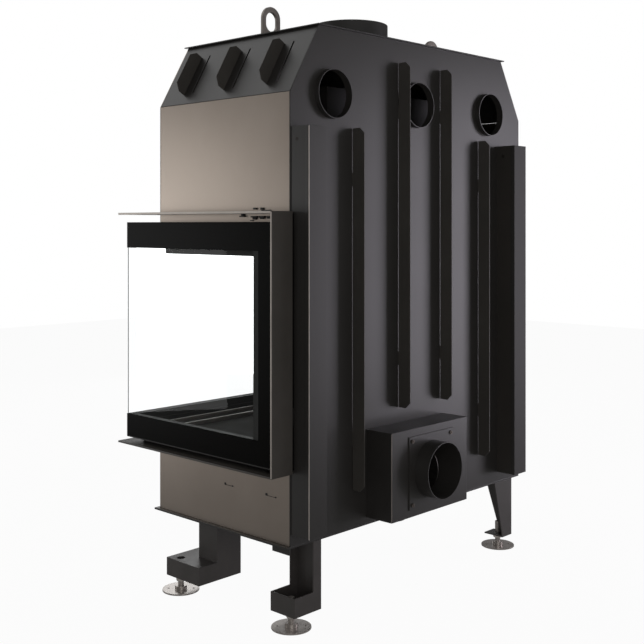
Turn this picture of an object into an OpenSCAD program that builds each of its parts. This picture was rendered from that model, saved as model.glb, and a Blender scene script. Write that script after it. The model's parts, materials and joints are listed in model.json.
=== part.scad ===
// Corner fireplace insert with a lift-up corner glass door, built as a sheet steel assembly.
// Body frame: X to the right seen from the front, Y to the back, Z up from the body's underside.
// The glazed sides are the front (-Y) and the right (+X).

/* [Body] */
// Width of the body between its side faces
body_w = 1001; // [940:1:1100]
// Depth of the body from front plane to back plane
body_d = 509; // [480:1:580]
// Height of the shoulders, from the upright sides to the lid
shoulder_h = 174; // [150:1:194]
// Height of the casing up to the underside of its lid
body_h = 1274; // [1250:1:1400]
// How far the shoulders lean in at the lid
shoulder_in = 99; // [60:1:120]
// Height of the body's underside above the floor
stand_h = 217; // [210:1:260]
// Thickness of the casing sheets
sheet = 3; // [2:0.5:4]
// Thickness of the bottom plate
bottom_t = 5; // [3:0.5:8]
// How far the bottom plate stands out as a lip
lip_out = 11; // [4:1:16]
// How far the lid stands out over the casing
lid_out = 8; // [3:1:12]

/* [Door] */
// Distance from the right side of the body to the outer face of the side glass
side_out = 59; // [57:1:70]
// Distance from the front of the body to the outer face of the front glass
front_out = 71; // [66:1:82]
// Height of the lower edge of the glass above the body's underside
glass_low = 197.5; // [194:0.5:215]
// Height of the upper edge of the glass
glass_high = 784.5; // [760:0.5:790]
// Thickness of the glass panes
glass_t = 4; // [3:0.5:5]
// Height of the rail behind the lower dark band
low_rail_h = 60; // [50:1:75]
// Height of the rail behind the upper dark band
high_rail_h = 70; // [56:1:84]
// Depth of the rails behind the glass
rail_d = 20; // [14:1:22]
// Wall of the hollow rails
rail_wall = 2; // [1.5:0.5:3]
// Width of the upright stiles
stile_w = 70; // [66:1:76]
// Distance of the front glass's left end from the left side of the body
glass_left_in = 50; // [46:1:54]
// Length of the handle bar
handle_len = 260; // [160:1:400]
// Radius of the handle bar
handle_r = 7; // [5:0.5:9]
// Distance from the front glass to the axis of the handle bar
handle_out = 34; // [30:1:50]

/* [Surround] */
// How far the surround stands out from the right side
surround_x = 76; // [74:1:95]
// How far the surround stands out from the front
surround_y = 89; // [86:1:110]
// Height of the lower surround plate's upper face
surround_low = 183; // [170:1:188]
// Height of the upper surround plate's upper face
surround_high = 810; // [807:1:830]
// Thickness of the surround plates
surround_t = 5; // [3:0.5:6]
// Thickness of the upright end plates
wing_t = 3; // [2:0.5:3]

/* [Back] */
// Distance between neighbouring ribs
rib_pitch = 186; // [172:1:195]
// Place of the ribs' middle line across the back
rib_x = -3.5; // [-8:0.5:4]
// Thickness of the ribs
rib_t = 3; // [2:0.5:5]
// Height of the lower end of the outer ribs
outer_rib_z = 96; // [80:1:130]
// Distance of the outer ribs' upper ends below the shoulders
outer_rib_drop = 75; // [64:1:205]
// Distance of the inner ribs' lower ends above the air box
inner_rib_rise = 41; // [16:1:66]
// Distance of the inner ribs' upper ends below the lid
inner_rib_drop = 60; // [45:1:180]
// How far the ribs stand out of the back
rib_out = 41; // [35:1:55]
// Gap between a rib and the back
rib_gap = 1.5; // [1:0.5:8]
// Width of the weight channels
channel_w = 62; // [60:1:66]
// How far the weight channels stand out of the back
channel_out = 63; // [61:1:75]
// Height of the lower end of the weight channels
channel_low = 28; // [15:1:28]
// Distance of the weight channels' upper ends below the shoulders
channel_drop = 85; // [60:1:88]
// Distance of the left channel's outer side from the body's left side
left_channel_in = 58; // [50:1:60]
// Outer radius of the convection collars
collar_r = 62.5; // [50:0.5:62.5]
// Wall of the convection collars
collar_wall = 2; // [1.5:0.5:3]
// Height of the convection collars' axes above the shoulders' lower edge
collar_rise = 6; // [0:1:30]
// How far the convection collars stand out
collar_out = 15; // [10:1:40]
// Distance of the outer convection collars' axes from the sides of the body
collar_side_in = 158.5; // [158:0.5:180]
// Place of the middle convection collar across the back
collar_x = 12.5; // [10:0.5:20]

/* [Air inlet] */
// Width of the air box
air_box_w = 328; // [300:1:336]
// Height of the air box
air_box_h = 229; // [224:1:236]
// How far the air box stands out of the back
air_box_out = 86; // [84:1:110]
// Place of the air inlet's axis across the back
air_x = 58; // [50:1:66]
// Height of the air inlet's axis above the body's underside
air_z = 129.5; // [127:0.5:136]
// Outer radius of the air inlet
inlet_r = 75; // [60:0.5:78]
// Wall of the air inlet
inlet_wall = 2; // [1.5:0.5:2.5]
// How far the air inlet stands out of the air box
inlet_out = 48; // [36:1:60]
// Side of the square inlet plate
inlet_plate_w = 190; // [184:1:200]
// Distance between the inlet plate's screws
inlet_screw_pitch = 166; // [162:1:172]
// Pull of the air control rod from open to shut
rod_pull = 60; // [50:1:60]

/* [Top] */
// Outer radius of the flue collar
flue_r = 109; // [85:0.5:115]
// Wall of the flue collar
flue_wall = 6; // [4:0.5:8]
// How far the flue collar stands above the lid
flue_out = 82; // [60:1:110]
// Distance of the lifting eyes from the ends of the flat top
eye_in = 51.5; // [46:0.5:82]
// Place of the lifting eyes from front to back
eye_y = 28; // [-60:1:60]
// Height of the lifting eyes above the lid
eye_h = 81; // [78:1:100]
// Width of the lifting eyes
eye_w = 64; // [60:1:80]
// Height of the shoulder fins
fin_out = 38; // [34:1:46]
// Distance of the shoulder fins' upper ends from the lid
fin_top_in = 42; // [12:1:44]
// Distance between neighbouring shoulder fins
fin_pitch = 162; // [140:0.5:170]
// Place of the middle shoulder fin from front to back
fin_y = -8.5; // [-20:0.5:0]

/* [Legs] */
// Height of the toes and trays
toe_h = 48; // [40:1:55]
// Height of their underside above the floor
toe_clear = 39; // [38:1:50]
// Thickness of the leg plates
leg_t = 4; // [3:0.5:5]
// Radius of the foot discs
foot_r = 50; // [42:1:55]
// Radius of the foot spindles
spindle_r = 8; // [6:0.5:8]
// Length of a whole foot from the floor to the spindle's tip
foot_len = 76; // [70:1:80]

/* [Lift] */
// Radius of the cable line on the pulleys
pulley_r = 15; // [14:0.5:16]
// Width of the pulleys
pulley_w = 9; // [8:0.5:11]
// Radius of the lifting cables
cable_r = 2; // [1.5:0.25:2.5]
// Distance of the pulleys' axles below the channels' upper ends
pulley_drop = 31; // [27:1:37]
// Height of each counterweight
weight_h = 430; // [350:1:430]
// Distance of the counterweights' upper ends below the pulleys' axles, with the door down
weight_drop = 64; // [54:1:66]

/* [Firebox] */
// Wall of the firebox shell
shell_t = 4; // [3:0.5:5]
// Thickness of the lining slabs
lining_t = 40; // [30:1:44]
// Height of the firebox floor above the body's underside
fire_low = 192; // [190:1:196]
// Height of the firebox ceiling
fire_high = 764; // [750:1:768]
// Distance of the firebox's left side from the left side of the body
fire_left_in = 103; // [102:1:109]
// Distance of the firebox's rear side from the back of the body
fire_back_in = 58.5; // [57:0.5:60]
// Thickness of the hearth slab
hearth_t = 36; // [25:1:44]
// Thickness of the smoke baffle
baffle_t = 25; // [20:1:30]

/* [Hidden] */
$fn = 64;

// One overrun for all cuts, and the clearances that fitted pieces share
over = 1;
run_gap = 0.3;
fit_gap = 0.1;

// Step between the outer length of a duct collar and the narrower length that stands in its hole
seat_step = 0.7;

// Half sizes of the body, and the top of its lid
half_w = body_w / 2;
half_d = body_d / 2;
lid_z = body_h + sheet;
shoulder_z = body_h - shoulder_h;
eye_x = half_w - shoulder_in - eye_in;
collar_z = shoulder_z + collar_rise;
collar_pitch = half_w - collar_side_in;

// Door planes: outer faces of the panes, then the rails behind them on both sides
glass_x = half_w + side_out;
glass_y = -half_d - front_out;
rail_x = glass_x - glass_t;
rail_y = glass_y + glass_t;
rail_in_x = rail_x - rail_d;
rail_in_y = rail_y + rail_d;
glass_rear_in = 1;
glass_rear = half_d - glass_rear_in;
glass_left = -half_w + glass_left_in;
ledge_t = 3;

// Firebox: its mouth stands out of the casing and carries the seal that the door closes on
seal_t = 8;
seal_w = 10;
seal_edge = 2;
seal_rise = 8;
seal_drop = 20;
rail_cover = 18;
mouth_x = rail_in_x - seal_t;
mouth_y = rail_in_y + seal_t;
fire_left = -half_w + fire_left_in;
fire_back = half_d - fire_back_in;
open_low = glass_low + low_rail_h - rail_cover;
open_high = glass_high - high_rail_h + rail_cover;
open_left = fire_left + lining_t;
open_rear = fire_back - lining_t;
baffle_z = open_high - baffle_t - seal_rise;
smoke_half_w = 260;
smoke_half_d = 150;
smoke_drop = 130;
smoke_z = body_h - smoke_drop;
baffle_front = -smoke_half_d - 2 * baffle_t;

// Outer box of the whole object, which centres it over the origin
box_right = half_w + surround_x;
box_left = -half_w;
box_back = half_d + air_box_out + inlet_out;
box_front = glass_y - handle_out - handle_r;
mid_x = (box_right + box_left) / 2;
mid_y = (box_back + box_front) / 2;

// Surround: the slot's clearance round the door, and the distance from the door to the end plates
door_slot = 4;
wing_clear = 11;
wing_gap = 5;
surround_front = -half_d - surround_y;
wing_in = glass_rear + wing_clear;
wing_left_in = glass_left - wing_clear;

// Weight channels: covers with narrow returns, middle planes and cable lines
cover_t = 2;
cover_return = 12;
chan_half = channel_w / 2 - cover_t;
cover_y = half_d + channel_out - cover_t;
channel_high = shoulder_z - channel_drop;
channel_right_x = half_w - channel_w / 2;
channel_left_x = -half_w + left_channel_in + channel_w / 2;
cable_in = 6;
cable_door_y = half_d + cable_in;
pulley_y = cable_door_y + pulley_r;
cable_weight_y = pulley_y + pulley_r;
cable_front_in = 22;
cable_front_y = -half_d + cable_front_in;
pulley_front_y = cable_front_y + pulley_r;

// Pulleys and their axles
pulley_z = channel_high - pulley_drop;
axle_r = 5;
spacer_r = 8;
side_gap = 0.5;
rim_edge = 1;
pulley_rim = pulley_r + cable_r + rim_edge;
groove_r = pulley_r - cable_r - run_gap;
groove_w = 2 * cable_r + 2 * run_gap;
bracket_t = 3;
bracket_h = 50;
bracket_w = 56;
cheek_h = 24;

// Counterweights
weight_top = pulley_z - weight_drop;
weight_gap = 2;
weight_half_w = chan_half - sheet - weight_gap;
weight_half_d = cover_y - cable_weight_y - weight_gap;
stud_r = 6;
stud_h = 12;

// Carriages, the arms that reach the cables, and the slots that the arms run in
guide_w = 26;
guide_out = 18;
guide_t = 2;
guide_mouth = 12;
carriage_t = 7;
carriage_h = 144;
arm_t = 5;
arm_h = 40;
arm_rise = 98;
arm_end = 8;
arm_low = glass_low + arm_rise;
slot_w = 10;
slot_edge = 3;
slot_low = surround_low + slot_edge;
slot_high = surround_high - surround_t;
guide_right_y = half_d - sheet - guide_w / 2;
guide_left_x = channel_left_x - slot_w / 2 - door_slot - guide_w / 2;
shoe_half = guide_w / 2 - guide_t - run_gap;
shoe_h = 30;
shoe_edge = 5;
shoe_neck = 8;

// Rib ends and tabs
inner_rib_z = air_z + air_box_h / 2 + inner_rib_rise;
rib_chamfer = 15;
tab_h = 36;
tab_end = 114;

// Air inlet: the tube reaches into the air box, with the damper's spindle across it
inlet_plate_t = 3;
tube_in = 62;
inlet_rear = half_d + air_box_out;
inlet_inner = inlet_rear - tube_in;
flap_in = 17.5;
flap_y = inlet_inner + flap_in;
flap_gap = 1;
flap_t = 2;
damper_r = 4;
damper_tip = 5;
crank_r = rod_pull / 2;
crank_t = 4;
pin_r = 2.5;
pin_play = 3;
crank_edge = 4;
crank_half = pin_r + pin_play + crank_edge;
crank_drop = 16;
rod_z = air_z - inlet_r - crank_drop;
rod_r = 4;
rod_end = 5;
crank_top = rod_z - rod_r - side_gap;
rod_x = air_x + crank_r;
rod_out = 26;
rod_front = -half_d - rod_out;
knob_r = 12;
knob_len = 20;
knob_share = [0.55, 1, 1, 0.8];
knob_len_share = [0.25, 0.7, 1];
screw_r = 5;
screw_head = 3.5;
socket_share = 0.5;

// Legs: places of the feet, and the outlines of the toes, trays and angles
foot_fr_in = 23;
foot_fr_rear = 62.5;
foot_rr_in = 44;
foot_rr_rear = 41;
foot_left_in = 56.5;
foot_rear_in = 39.5;
foot_fr = [half_w - foot_fr_in, -half_d + foot_fr_rear];
foot_rr = [half_w - foot_rr_in, half_d - foot_rr_rear];
foot_rl = [-half_w + foot_left_in, half_d - foot_rear_in];
foot_fl = [-half_w + foot_left_in, -half_d + foot_rear_in];
toe_w = 148;
toe_d = 137;
toe_front = 33;
column_w = 85;
column_d = 76;
access_r = 11.5;
tray_w = 94;
tray_d = 84.5;
tray_right_in = 14.5;
tray_flange = 28;
angle_in = 39.5;
angle_x = -half_w + angle_in;
angle_w = 91;
angle_low_w = 50;
angle_d = 99;
angle_low_d = 51;
angle_foot_d = 66;
angle_step = 9;
angle_side_step = 31;
toe_low = toe_clear - stand_h;
disc_t = 4;
hub_h = 13;
hub_r = 16;
disc_hole_r = 3;
disc_hole_at = 34;
nut_h = 13;
nut_r = 13.9;
lug_d = 59;
lug_h = 17;
lug_in = 4.5;

// Colours
warm_grey = [0.55, 0.51, 0.47];
dark_grey = [0.2, 0.2, 0.21];
black = [0.1, 0.1, 0.1];
soot = [0.16, 0.16, 0.16];
steel = [0.6, 0.6, 0.6];
fireclay = [0.32, 0.29, 0.26];

// A straight block between two corners given axis by axis
module block(x, y, z) {
    translate([x[0], y[0], z[0]]) cube([x[1] - x[0], y[1] - y[0], z[1] - z[0]]);
}

// Moves a piece from the body's frame to the frame of the whole object
module in_place() {
    translate([-mid_x, -mid_y, stand_h]) children();
}

// Round bars along Y and along X
module bar_y(r, y0, y1) {
    translate([0, y1, 0]) rotate([90, 0, 0]) cylinder(r = r, h = y1 - y0);
}
module bar_x(r, x0, x1) {
    translate([x0, 0, 0]) rotate([0, 90, 0]) cylinder(r = r, h = x1 - x0);
}

// Plates cut to an outline: across the body, along the body, and lying flat
module wall_xz(points, y0, y1) {
    translate([0, y1, 0]) rotate([90, 0, 0]) linear_extrude(y1 - y0) polygon(points);
}
module wall_yz(points, x0, x1) {
    translate([x0, 0, 0]) rotate([90, 0, 90]) linear_extrude(x1 - x0) polygon(points);
}
module flat_xy(points, z0, z1) {
    translate([0, 0, z0]) linear_extrude(z1 - z0) polygon(points);
}

// Front and back outline of the casing with its two shoulders, from a given height up
function shoulders(z0) = [
    [-half_w, z0], [half_w, z0], [half_w, shoulder_z], [half_w - shoulder_in, body_h],
    [-half_w + shoulder_in, body_h], [-half_w, shoulder_z]
];

// L-shaped band round the glazed corner: left end, outer planes, rear end, inner planes
function corner(left, x1, y1, rear, x0, y0) = [
    [left, y1], [x1, y1], [x1, rear], [x0, rear], [x0, y0], [left, y0]
];

module collar_places() {
    for (i = [-1 : 1]) translate([collar_x + i * collar_pitch, 0, collar_z]) children();
}

module screw_places() {
    for (i = [-1, 1], j = [-1, 1])
        translate([air_x + i * inlet_screw_pitch / 2, 0, air_z + j * inlet_screw_pitch / 2])
            children();
}

module back_wall() {
    color(dark_grey) in_place() difference() {
        wall_xz(shoulders(0), half_d - sheet, half_d);
        collar_places()
            bar_y(collar_r - seat_step + fit_gap, half_d - sheet - over, half_d + over);
        block([air_x - inlet_r, air_x + inlet_r], [half_d - sheet - over, half_d + over],
              [air_z - inlet_r, air_z + inlet_r]);
        translate([rod_x, 0, rod_z]) bar_y(rod_r + run_gap, half_d - sheet - over, half_d + over);
        block([channel_left_x - slot_w / 2, channel_left_x + slot_w / 2],
              [half_d - sheet - over, half_d + over],
              [pulley_z + pulley_r - slot_w / 2, pulley_z + pulley_r + slot_w / 2]);
    }
}

module left_side_wall() {
    color(warm_grey) in_place()
        block([-half_w, -half_w + sheet], [-half_d + sheet, half_d - sheet], [0, shoulder_z]);
}

// Upper covers, which also close the strip between the firebox and the surround
module side_cover_upper() {
    color(warm_grey) in_place() {
        block([half_w - sheet, half_w], [-half_d + sheet, half_d - sheet],
              [surround_high, shoulder_z]);
        block([half_w - sheet, half_w], [-half_d + sheet, fire_back + shell_t],
              [fire_high + shell_t, surround_high]);
    }
}

module side_cover_lower() {
    color(warm_grey) in_place()
        block([half_w - sheet, half_w], [-half_d + sheet, half_d - sheet],
              [0, surround_low - surround_t]);
}

module front_cover_upper() {
    color(warm_grey) in_place() {
        wall_xz(shoulders(surround_high), -half_d, -half_d + sheet);
        block([fire_left - shell_t, half_w], [-half_d, -half_d + sheet],
              [fire_high + shell_t, surround_high]);
    }
}

module front_cover_lower() {
    color(warm_grey) in_place() difference() {
        block([-half_w, half_w], [-half_d, -half_d + sheet], [0, surround_low - surround_t]);
        translate([rod_x, 0, rod_z])
            bar_y(rod_r + run_gap, -half_d - over, -half_d + sheet + over);
    }
}

// Upright strips that close the casing behind the two ends of the door
module end_pillars() {
    color(dark_grey) in_place() {
        block([half_w - sheet, half_w], [fire_back + shell_t, half_d - sheet],
              [surround_low - surround_t, surround_high]);
        difference() {
            block([-half_w, fire_left - shell_t], [-half_d, -half_d + sheet],
                  [surround_low - surround_t, surround_high]);
            block([channel_left_x - slot_w / 2, channel_left_x + slot_w / 2],
                  [-half_d - over, -half_d + sheet + over], [slot_low, slot_high]);
        }
    }
}

// Bottom plate with a lip on the glazed sides and a small lug under the right side
module bottom_plate() {
    color(dark_grey) in_place() {
        block([-half_w, half_w + lip_out], [-half_d - lip_out, half_d], [-bottom_t, 0]);
        block([half_w - leg_t, half_w], [half_d - lug_in - lug_d, half_d - lug_in],
              [-bottom_t - lug_h, -bottom_t]);
    }
}

module top_lid() {
    color(dark_grey) in_place() difference() {
        block([-half_w + shoulder_in - lid_out, half_w - shoulder_in + lid_out],
              [-half_d - lid_out, half_d + lid_out], [body_h, lid_z]);
        translate([0, 0, body_h - over]) cylinder(r = flue_r + fit_gap, h = sheet + 2 * over);
    }
}

// Shoulders: X out of the sheet, Y to the back, Z up the slope
slope_len = norm([shoulder_in, body_h - shoulder_z]);
slope_turn = atan2(shoulder_in, body_h - shoulder_z);
fin_low = 32;
fin_chamfer = 17;
fin_len = slope_len - fin_low - fin_top_in;
fin_slot_low = 36;
fin_slot_top_in = 40;
fin_slot_side = 32;
fin_slot_w = 5;

module on_slope(side) {
    mirror([side < 0 ? 1 : 0, 0, 0])
        translate([half_w, 0, shoulder_z]) rotate([0, -slope_turn, 0]) children();
}

module hood_slopes() {
    color(dark_grey) in_place() for (side = [-1, 1]) on_slope(side) difference() {
        block([-sheet, 0], [-half_d + sheet, half_d - sheet],
              [sheet * tan(slope_turn), slope_len]);
        if (side > 0) for (i = [-1 : 1])
            translate([0, fin_y + i * fin_pitch + fin_slot_side, fin_slot_low])
                block([-sheet - over, over], [0, fin_slot_w],
                      [0, slope_len - fin_slot_low - fin_slot_top_in]);
    }
}

// Upright fins with chamfered outer corners on the shoulder above the side glass
module hood_fins() {
    color(black) in_place() on_slope(1) for (i = [-1 : 1])
        translate([0, fin_y + i * fin_pitch + rib_t / 2, fin_low])
            rotate([90, 0, 0]) linear_extrude(rib_t) polygon([
                [0, 0], [fin_out - fin_chamfer, 0], [fin_out, fin_chamfer],
                [fin_out, fin_len - fin_chamfer], [fin_out - fin_chamfer, fin_len], [0, fin_len]
            ]);
}

// One rib with chamfered outer corners, standing off the back on two tabs
module rib(x, z0, z1) {
    translate([x - rib_t / 2, half_d, 0]) rotate([90, 0, 90]) linear_extrude(rib_t) polygon([
        [rib_gap, z0], [rib_out - rib_chamfer, z0], [rib_out, z0 + rib_chamfer],
        [rib_out, z1 - rib_chamfer], [rib_out - rib_chamfer, z1], [rib_gap, z1],
        [rib_gap, z1 - tab_end], [0, z1 - tab_end], [0, z1 - tab_end - tab_h],
        [rib_gap, z1 - tab_end - tab_h], [rib_gap, z0 + tab_end + tab_h],
        [0, z0 + tab_end + tab_h], [0, z0 + tab_end], [rib_gap, z0 + tab_end]
    ]);
}

module back_ribs() {
    color(black) in_place() for (side = [-1, 1]) {
        rib(rib_x + side * 1.5 * rib_pitch, outer_rib_z, shoulder_z - outer_rib_drop);
        rib(rib_x + side * rib_pitch / 2, inner_rib_z, body_h - inner_rib_drop);
    }
}

// Open-backed channel in which a counterweight hangs
module channel_box(x) {
    difference() {
        block([x - chan_half, x + chan_half], [half_d, cover_y], [channel_low, channel_high]);
        block([x - chan_half + sheet, x + chan_half - sheet], [half_d - over, cover_y + over],
              [channel_low + sheet, channel_high - sheet]);
        translate([0, pulley_y, pulley_z])
            bar_x(axle_r + fit_gap, x - chan_half - over, x + chan_half + over);
    }
}

module weight_channel_right() {
    color(dark_grey) in_place() difference() {
        channel_box(channel_right_x);
        block([half_w - cover_t - sheet - over, half_w],
              [cable_door_y - slot_w / 2, cable_door_y + slot_w / 2], [slot_low, slot_high]);
    }
}

module weight_channel_left() {
    color(dark_grey) in_place() channel_box(channel_left_x);
}

module channel_covers() {
    color(dark_grey) in_place() for (x = [channel_right_x, channel_left_x]) difference() {
        block([x - channel_w / 2, x + channel_w / 2],
              [half_d + channel_out - cover_return, half_d + channel_out],
              [channel_low, channel_high]);
        block([x - chan_half, x + chan_half],
              [half_d + channel_out - cover_return - over, cover_y],
              [channel_low - over, channel_high + over]);
    }
}

collar_flange = 7;

module convection_collars() {
    color(dark_grey) in_place() collar_places() difference() {
        union() {
            bar_y(collar_r, half_d, half_d + collar_out);
            bar_y(collar_r - seat_step, half_d - 2 * sheet, half_d + over);
            bar_y(collar_r + collar_flange, half_d - 2 * sheet, half_d - sheet);
        }
        bar_y(collar_r - collar_wall, half_d - 2 * sheet - over, half_d + collar_out + over);
    }
}

flue_foot = 16;

module flue_collar() {
    color(dark_grey) in_place() translate([0, 0, smoke_z]) difference() {
        union() {
            cylinder(r = flue_r, h = lid_z + flue_out - smoke_z);
            cylinder(r = flue_r + flue_foot, h = flue_wall);
        }
        translate([0, 0, -over])
            cylinder(r = flue_r - flue_wall, h = lid_z + flue_out - smoke_z + 2 * over);
    }
}

// Lifting eye: an upright plate with a round top and a long hole, between two foot plates
eye_hole_w = 40;
eye_hole_low = 15;
eye_top = 15;
eye_t = 10;
eye_foot_d = 50;
eye_foot_t = 4;

module lifting_eyes() {
    color([0.42, 0.4, 0.37]) in_place() for (side = [-1, 1])
        translate([side * eye_x, eye_y, lid_z]) {
            difference() {
                union() {
                    block([-eye_w / 2, eye_w / 2], [-eye_t / 2, eye_t / 2], [0, eye_h - eye_w / 2]);
                    translate([0, 0, eye_h - eye_w / 2]) bar_y(eye_w / 2, -eye_t / 2, eye_t / 2);
                }
                block([-eye_hole_w / 2, eye_hole_w / 2], [-eye_t, eye_t],
                      [eye_hole_low + eye_hole_w / 2, eye_h - eye_top - eye_hole_w / 2]);
                for (z = [eye_hole_low + eye_hole_w / 2, eye_h - eye_top - eye_hole_w / 2])
                    translate([0, 0, z]) bar_y(eye_hole_w / 2, -eye_t, eye_t);
            }
            block([-eye_w / 2, eye_w / 2], [eye_t / 2, eye_foot_d / 2], [0, eye_foot_t]);
            block([-eye_w / 2, eye_w / 2], [-eye_foot_d / 2, -eye_t / 2], [0, eye_foot_t]);
        }
}

// Upper surround: an outer and an inner flat bar, with the slot for the rising door between them
module surround_top() {
    color(warm_grey) in_place() {
        flat_xy(corner(wing_left_in, box_right, surround_front, wing_in,
                       glass_x + door_slot, glass_y - door_slot),
                surround_high - surround_t, surround_high);
        flat_xy(corner(wing_left_in, rail_in_x - door_slot, rail_in_y + door_slot, wing_in,
                       half_w, -half_d),
                surround_high - surround_t, surround_high);
    }
}

module surround_bottom() {
    color(dark_grey) in_place()
        flat_xy(corner(wing_left_in, box_right, surround_front, wing_in, half_w, -half_d),
                surround_low - surround_t, surround_low);
}

// Upright plates at the two ends of the surround
module surround_wings() {
    color(dark_grey) in_place() {
        block([half_w + wing_gap, box_right], [wing_in, wing_in + wing_t],
              [surround_low - surround_t, surround_high]);
        block([wing_left_in - wing_t, wing_left_in], [surround_front, -half_d - wing_gap],
              [surround_low - surround_t, surround_high]);
    }
}

// Air box with rounded outer upright edges, open to the body
module air_box() {
    x0 = air_x - air_box_w / 2;
    x1 = air_x + air_box_w / 2;
    z0 = air_z - air_box_h / 2;
    z1 = air_z + air_box_h / 2;
    color(dark_grey) in_place() difference() {
        union() {
            block([x0, x1], [half_d, inlet_rear - sheet], [z0, z1]);
            block([x0 + sheet, x1 - sheet], [inlet_rear - sheet, inlet_rear], [z0, z1]);
            for (x = [x0 + sheet, x1 - sheet]) translate([x, inlet_rear - sheet, z0])
                cylinder(r = sheet, h = z1 - z0);
        }
        block([x0 + sheet, x1 - sheet], [half_d - over, inlet_rear - sheet],
              [z0 + sheet, z1 - sheet]);
        translate([air_x, 0, air_z])
            bar_y(inlet_r - seat_step + fit_gap, inlet_rear - sheet - over, inlet_rear + over);
        screw_places() bar_y(screw_r / 2 + fit_gap, inlet_rear - sheet - over, inlet_rear + over);
    }
}

// Square plate and the inlet tube through it, which reaches into the air box round the damper
module inlet_spigot() {
    plate_rear = inlet_rear + inlet_plate_t;
    color(dark_grey) in_place() {
        difference() {
            block([air_x - inlet_plate_w / 2, air_x + inlet_plate_w / 2], [inlet_rear, plate_rear],
                  [air_z - inlet_plate_w / 2, air_z + inlet_plate_w / 2]);
            translate([air_x, 0, air_z])
                bar_y(inlet_r - seat_step + fit_gap, inlet_rear - over, plate_rear + over);
            screw_places() bar_y(screw_r / 2 + fit_gap, inlet_rear - over, plate_rear + over);
        }
        difference() {
            translate([air_x, 0, air_z]) {
                bar_y(inlet_r, plate_rear, inlet_rear + inlet_out);
                bar_y(inlet_r - seat_step, inlet_inner, plate_rear + over);
            }
            translate([air_x, 0, air_z])
                bar_y(inlet_r - inlet_wall, inlet_inner - over, inlet_rear + inlet_out + over);
            translate([air_x, flap_y, rod_z])
                cylinder(r = damper_r + fit_gap, h = 2 * inlet_r + crank_drop + over);
        }
    }
}

module inlet_screws() {
    y1 = inlet_rear + inlet_plate_t;
    color([0.3, 0.3, 0.3]) in_place() screw_places() {
        bar_y(screw_r / 2, inlet_rear - sheet, y1);
        difference() {
            bar_y(screw_r, y1, y1 + screw_head);
            translate([0, y1 + screw_head, 0]) rotate([90, 0, 0])
                cylinder(r = screw_r * socket_share, h = screw_head * socket_share, $fn = 6);
        }
    }
}

// Round flap on the spindle, edge on to the air while the rod is pushed in
module damper_flap() {
    color([0.45, 0.45, 0.45]) in_place() translate([air_x, flap_y, air_z])
        bar_x(inlet_r - inlet_wall - flap_gap, damper_r + fit_gap, damper_r + fit_gap + flap_t);
}

// Spindle with the crank under the tube; the rod's pin stands in the crank's long slot
module damper_spindle() {
    far = crank_r * sqrt(2);
    color(steel) in_place() translate([air_x, flap_y, 0]) {
        translate([0, 0, crank_top])
            cylinder(r = damper_r, h = air_z + inlet_r + damper_tip - crank_top);
        translate([0, 0, crank_top - crank_t]) rotate([0, 0, 45]) difference() {
            union() {
                cylinder(r = crank_half, h = crank_t);
                block([0, far], [-crank_half, crank_half], [0, crank_t]);
                translate([far, 0, 0]) cylinder(r = crank_half, h = crank_t);
            }
            block([crank_r - pin_play, far], [-pin_r - pin_play, pin_r + pin_play],
                  [-over, crank_t + over]);
            for (x = [crank_r - pin_play, far]) translate([x, 0, -over])
                cylinder(r = pin_r + pin_play, h = crank_t + 2 * over);
        }
    }
}

module air_control_rod() {
    color(steel) in_place() translate([rod_x, 0, rod_z]) {
        bar_y(rod_r, rod_front, flap_y + crank_r + rod_end);
        translate([0, flap_y + crank_r, -rod_r - side_gap - 2 * crank_t])
            cylinder(r = pin_r, h = rod_r + side_gap + 2 * crank_t);
    }
}

module air_control_knob() {
    color(black) in_place() translate([rod_x, rod_front, rod_z]) rotate([90, 0, 0])
        rotate_extrude() polygon([
            [0, 0], [knob_r * knob_share[0], 0],
            [knob_r * knob_share[1], knob_len * knob_len_share[0]],
            [knob_r * knob_share[2], knob_len * knob_len_share[1]],
            [knob_r * knob_share[3], knob_len * knob_len_share[2]], [0, knob_len]
        ]);
}

// Firebox: a steel box whose mouth is open round the glazed corner
module firebox_shell() {
    color(soot) in_place() difference() {
        union() {
            block([fire_left - shell_t, mouth_x], [mouth_y, fire_back + shell_t],
                  [fire_low - shell_t, fire_high + shell_t]);
            flat_xy(corner(fire_left - shell_t, mouth_x, mouth_y, fire_back + shell_t,
                           mouth_x - shell_t, mouth_y + shell_t),
                    surround_low, glass_high - seal_drop + seal_edge);
        }
        block([fire_left, mouth_x - shell_t], [mouth_y + shell_t, fire_back],
              [fire_low, fire_high]);
        block([open_left, mouth_x + over], [mouth_y - over, open_rear], [open_low, open_high]);
        block([-smoke_half_w, smoke_half_w], [-smoke_half_d + shell_t, smoke_half_d],
              [fire_high - over, fire_high + shell_t + over]);
    }
}

module smoke_box() {
    z0 = fire_high + shell_t;
    color(soot) in_place() difference() {
        block([-smoke_half_w - shell_t, smoke_half_w + shell_t],
              [-smoke_half_d, smoke_half_d + shell_t], [z0, smoke_z]);
        block([-smoke_half_w, smoke_half_w], [-smoke_half_d + shell_t, smoke_half_d],
              [z0 - over, smoke_z - shell_t]);
        translate([0, 0, smoke_z - shell_t - over])
            cylinder(r = flue_r - flue_wall, h = shell_t + 2 * over);
    }
}

module hearth_slab() {
    color(fireclay) in_place()
        block([fire_left, mouth_x - shell_t], [mouth_y + shell_t, fire_back],
              [fire_low, fire_low + hearth_t]);
}

module lining_back() {
    color(fireclay) in_place()
        block([fire_left + lining_t, mouth_x - shell_t], [open_rear, fire_back],
              [fire_low + hearth_t, baffle_z]);
}

module lining_left() {
    color(fireclay) in_place()
        block([fire_left, fire_left + lining_t], [mouth_y + shell_t, fire_back],
              [fire_low + hearth_t, baffle_z]);
}

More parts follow.
